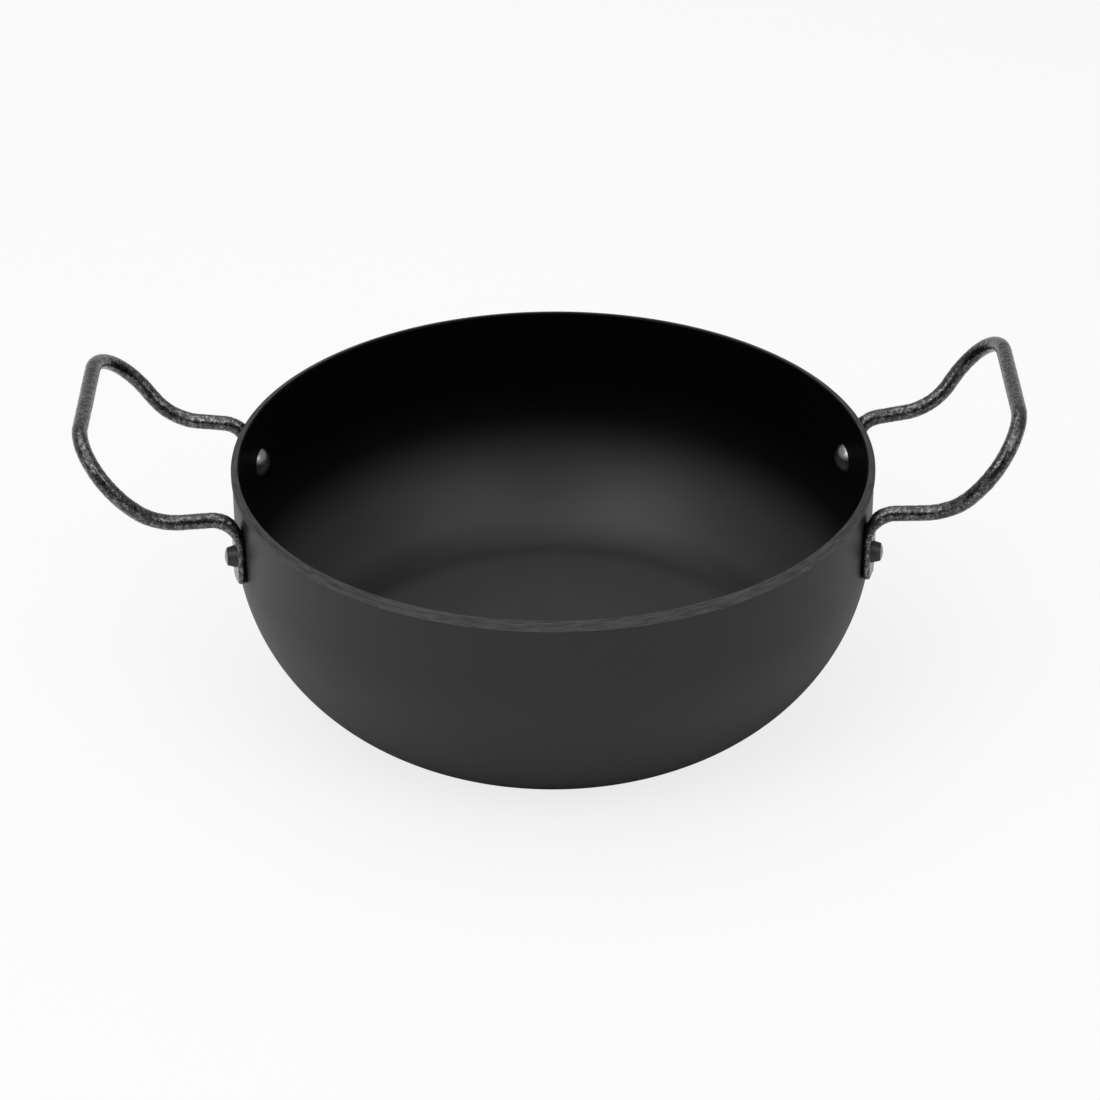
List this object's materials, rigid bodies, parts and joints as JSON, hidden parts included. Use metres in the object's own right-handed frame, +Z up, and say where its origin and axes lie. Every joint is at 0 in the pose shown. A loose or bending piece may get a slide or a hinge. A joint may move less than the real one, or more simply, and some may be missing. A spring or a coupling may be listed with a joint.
{
  "type": "carbon steel pan",
  "caption": "Deep round-sided carbon steel pan with a flat base, a short upright rim and upswept bent-rod handles riveted to the wall, for frying and braising on a stove.",
  "frame": {"origin": "centre of the flat base, on the plane it rests on", "axes": "+Z up out of the bowl, +X towards the right handle, -Y towards the front of the picture"},
  "size_m": [0.3761, 0.26, 0.1365],
  "materials": {
    "pan_steel": "satin",
    "hammered_rod": "satin",
    "rivet_steel": "satin"
  },
  "bodies": {
    "root": {"pan_bowl": "pan_steel", "handle_left": "hammered_rod", "handle_right": "hammered_rod", "rivet_left_front": "rivet_steel", "rivet_left_back": "rivet_steel", "rivet_right_front": "rivet_steel", "rivet_right_back": "rivet_steel"}
  },
  "joints": []
}
